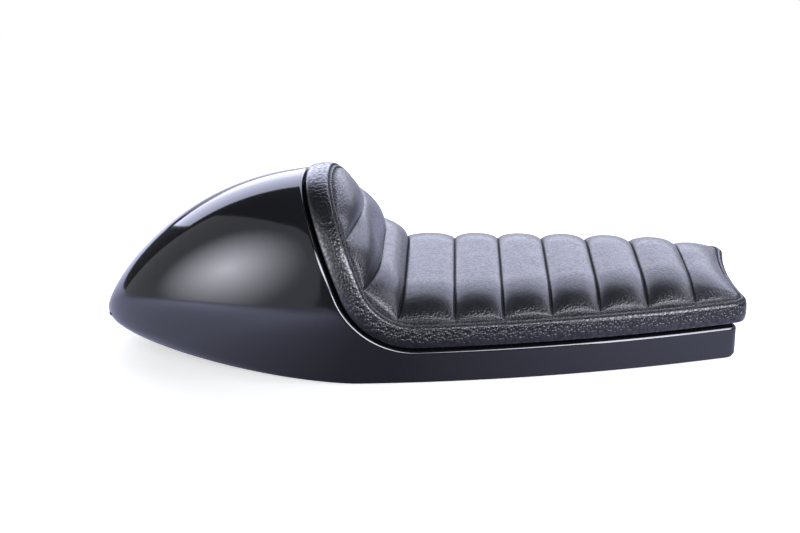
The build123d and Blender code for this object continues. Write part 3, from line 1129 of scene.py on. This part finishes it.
# %% World
scene = bpy.context.scene
scene.world = bpy.data.worlds.new("studio")
studio = Recipe("studio", scene.world)
dim = studio.node("ShaderNodeBackground", {}, {"Color": (0.9, 0.92, 1.0, 1), "Strength": 0.12})
bright = studio.node("ShaderNodeBackground", {}, {"Color": (1, 1, 1, 1), "Strength": 1.0})
sky = studio.node("ShaderNodeMixShader", {}, {0: looked_at(studio), 1: dim, 2: bright})
studio.node("ShaderNodeOutputWorld", {}, {"Surface": sky})
print("world", scene.world.name)

# %% [markdown]
# A large soft lamp hangs above and behind and paints the tops of the rolls and of the hump. A smaller one
# stands at the right, and a low one in front draws the line along the lip. Three cards are seen only in
# reflections: one at the left gives the glow on the hump's side, one in front makes the lip and the grain
# sparkle, and a wide one far behind brightens the far edges, where the surfaces turn away.


# %% Lamps
def face(place, aim):
    """The turn of a lamp or card at a place that faces a point."""
    return (Vector(place) - Vector(aim)).to_track_quat("Z", "Y").to_euler()


def soft_light(name, place, aim, size, power, colour):
    """A rectangular lamp that faces a point."""
    bpy.ops.object.select_all(action="DESELECT")
    bpy.ops.object.light_add(type="AREA", location=place)
    lamp = bpy.context.object
    lamp.name = name
    lamp.data.shape = "RECTANGLE"
    lamp.data.size = size[0]
    lamp.data.size_y = size[1]
    lamp.data.energy = power
    lamp.data.color = colour
    lamp.rotation_euler = face(place, aim)


def glow_card(name, place, aim, size, strength, softness, base=0.0, spot=(0.0, 0.0), tight=(2.0, 2.0)):
    """A card that shines brightest at its spot and fades to its edges, seen only in reflections."""
    bpy.ops.object.select_all(action="DESELECT")
    bpy.ops.mesh.primitive_plane_add(size=1, location=place, rotation=face(place, aim))
    card = bpy.context.object
    card.name = name
    card.scale = (size[0], size[1], 1)
    r = Recipe(name)
    shift = (-tight[0] * spot[0], -tight[1] * spot[1], 0.0)
    shine = round_spot(r, shift, (tight[0], tight[1], 1.0)) ** softness * strength + base
    light = r.node("ShaderNodeEmission", {}, {"Color": (0.88, 0.89, 1, 1), "Strength": shine})
    r.node("ShaderNodeOutputMaterial", {}, {"Surface": light})
    dress(card, r.owner)
    card.visible_camera = False
    card.visible_diffuse = False
    card.visible_shadow = False


soft_light(
    "softbox", place=(-0.2, 1.9, 1.12), aim=(-0.37, 1.07, 0.1), size=(4.6, 1.9), power=120.0,
    colour=(0.74, 0.77, 1.0),
)
soft_light(
    "right_box", place=(1.6, 0.1, 1.15), aim=(0.0, 0.0, 0.1), size=(1.0, 1.2), power=14.0,
    colour=(0.85, 0.87, 1.0),
)
soft_light(
    "lip_light", place=(1.05, -1.43, 0.56), aim=(-0.05, -0.1, 0.07), size=(0.7, 0.5), power=26.0,
    colour=(0.84, 0.87, 1.0),
)
glow_card(
    "left_glow", place=(-1.6, -0.85, 0.75), aim=(-0.17, 0.0, 0.1), size=(4.2, 3.0), strength=10.5,
    softness=1.5, base=0.75, spot=(0.13, 0.0), tight=(3.7, 2.4),
)
glow_card(
    "lip_card", place=(0.76, -1.15, 0.98), aim=(0.2, -0.1, 0.03), size=(1.9, 0.75), strength=25.0,
    softness=0.6,
)
glow_card(
    "horizon", place=(0.3, 3.4, 0.6), aim=(0.3, 0.0, 0.6), size=(5.0, 2.4), strength=1.8, softness=0.5
)

# %% [markdown]
# The camera is the one that fits the photograph: its place, its long lens and a slight roll. Its axes are
# worked out from the azimuth, the elevation and the roll, and become the columns of its matrix.

# %% Camera
camera_azimuth = math.radians(3.5)
camera_elevation = math.radians(24.0)
camera_roll = math.radians(-2.71)
camera_place = Vector((56.34, -1183.39, 605.02)) * MM
focal_pixels = 1204.0
image_width = 800.0
bpy.ops.object.select_all(action="DESELECT")
bpy.ops.object.camera_add(location=camera_place)
camera = bpy.context.object
camera.data.sensor_width = 36.0
camera.data.lens = focal_pixels / image_width * camera.data.sensor_width
camera.data.clip_start = 0.01
rightward = Vector((math.cos(camera_azimuth), math.sin(camera_azimuth), 0))
backward = Vector((
    math.sin(camera_azimuth) * math.cos(camera_elevation),
    -math.cos(camera_azimuth) * math.cos(camera_elevation),
    math.sin(camera_elevation),
))
upward = backward.cross(rightward)
turned_right = rightward * math.cos(camera_roll) + upward * math.sin(camera_roll)
turned_up = upward * math.cos(camera_roll) - rightward * math.sin(camera_roll)
turn = Matrix((turned_right, turned_up, backward)).transposed()
camera.matrix_world = Matrix.Translation(camera_place) @ turn.to_4x4()
scene.camera = camera
scene.view_settings.view_transform = "Standard"
print("lens", round(camera.data.lens, 1), "mm")
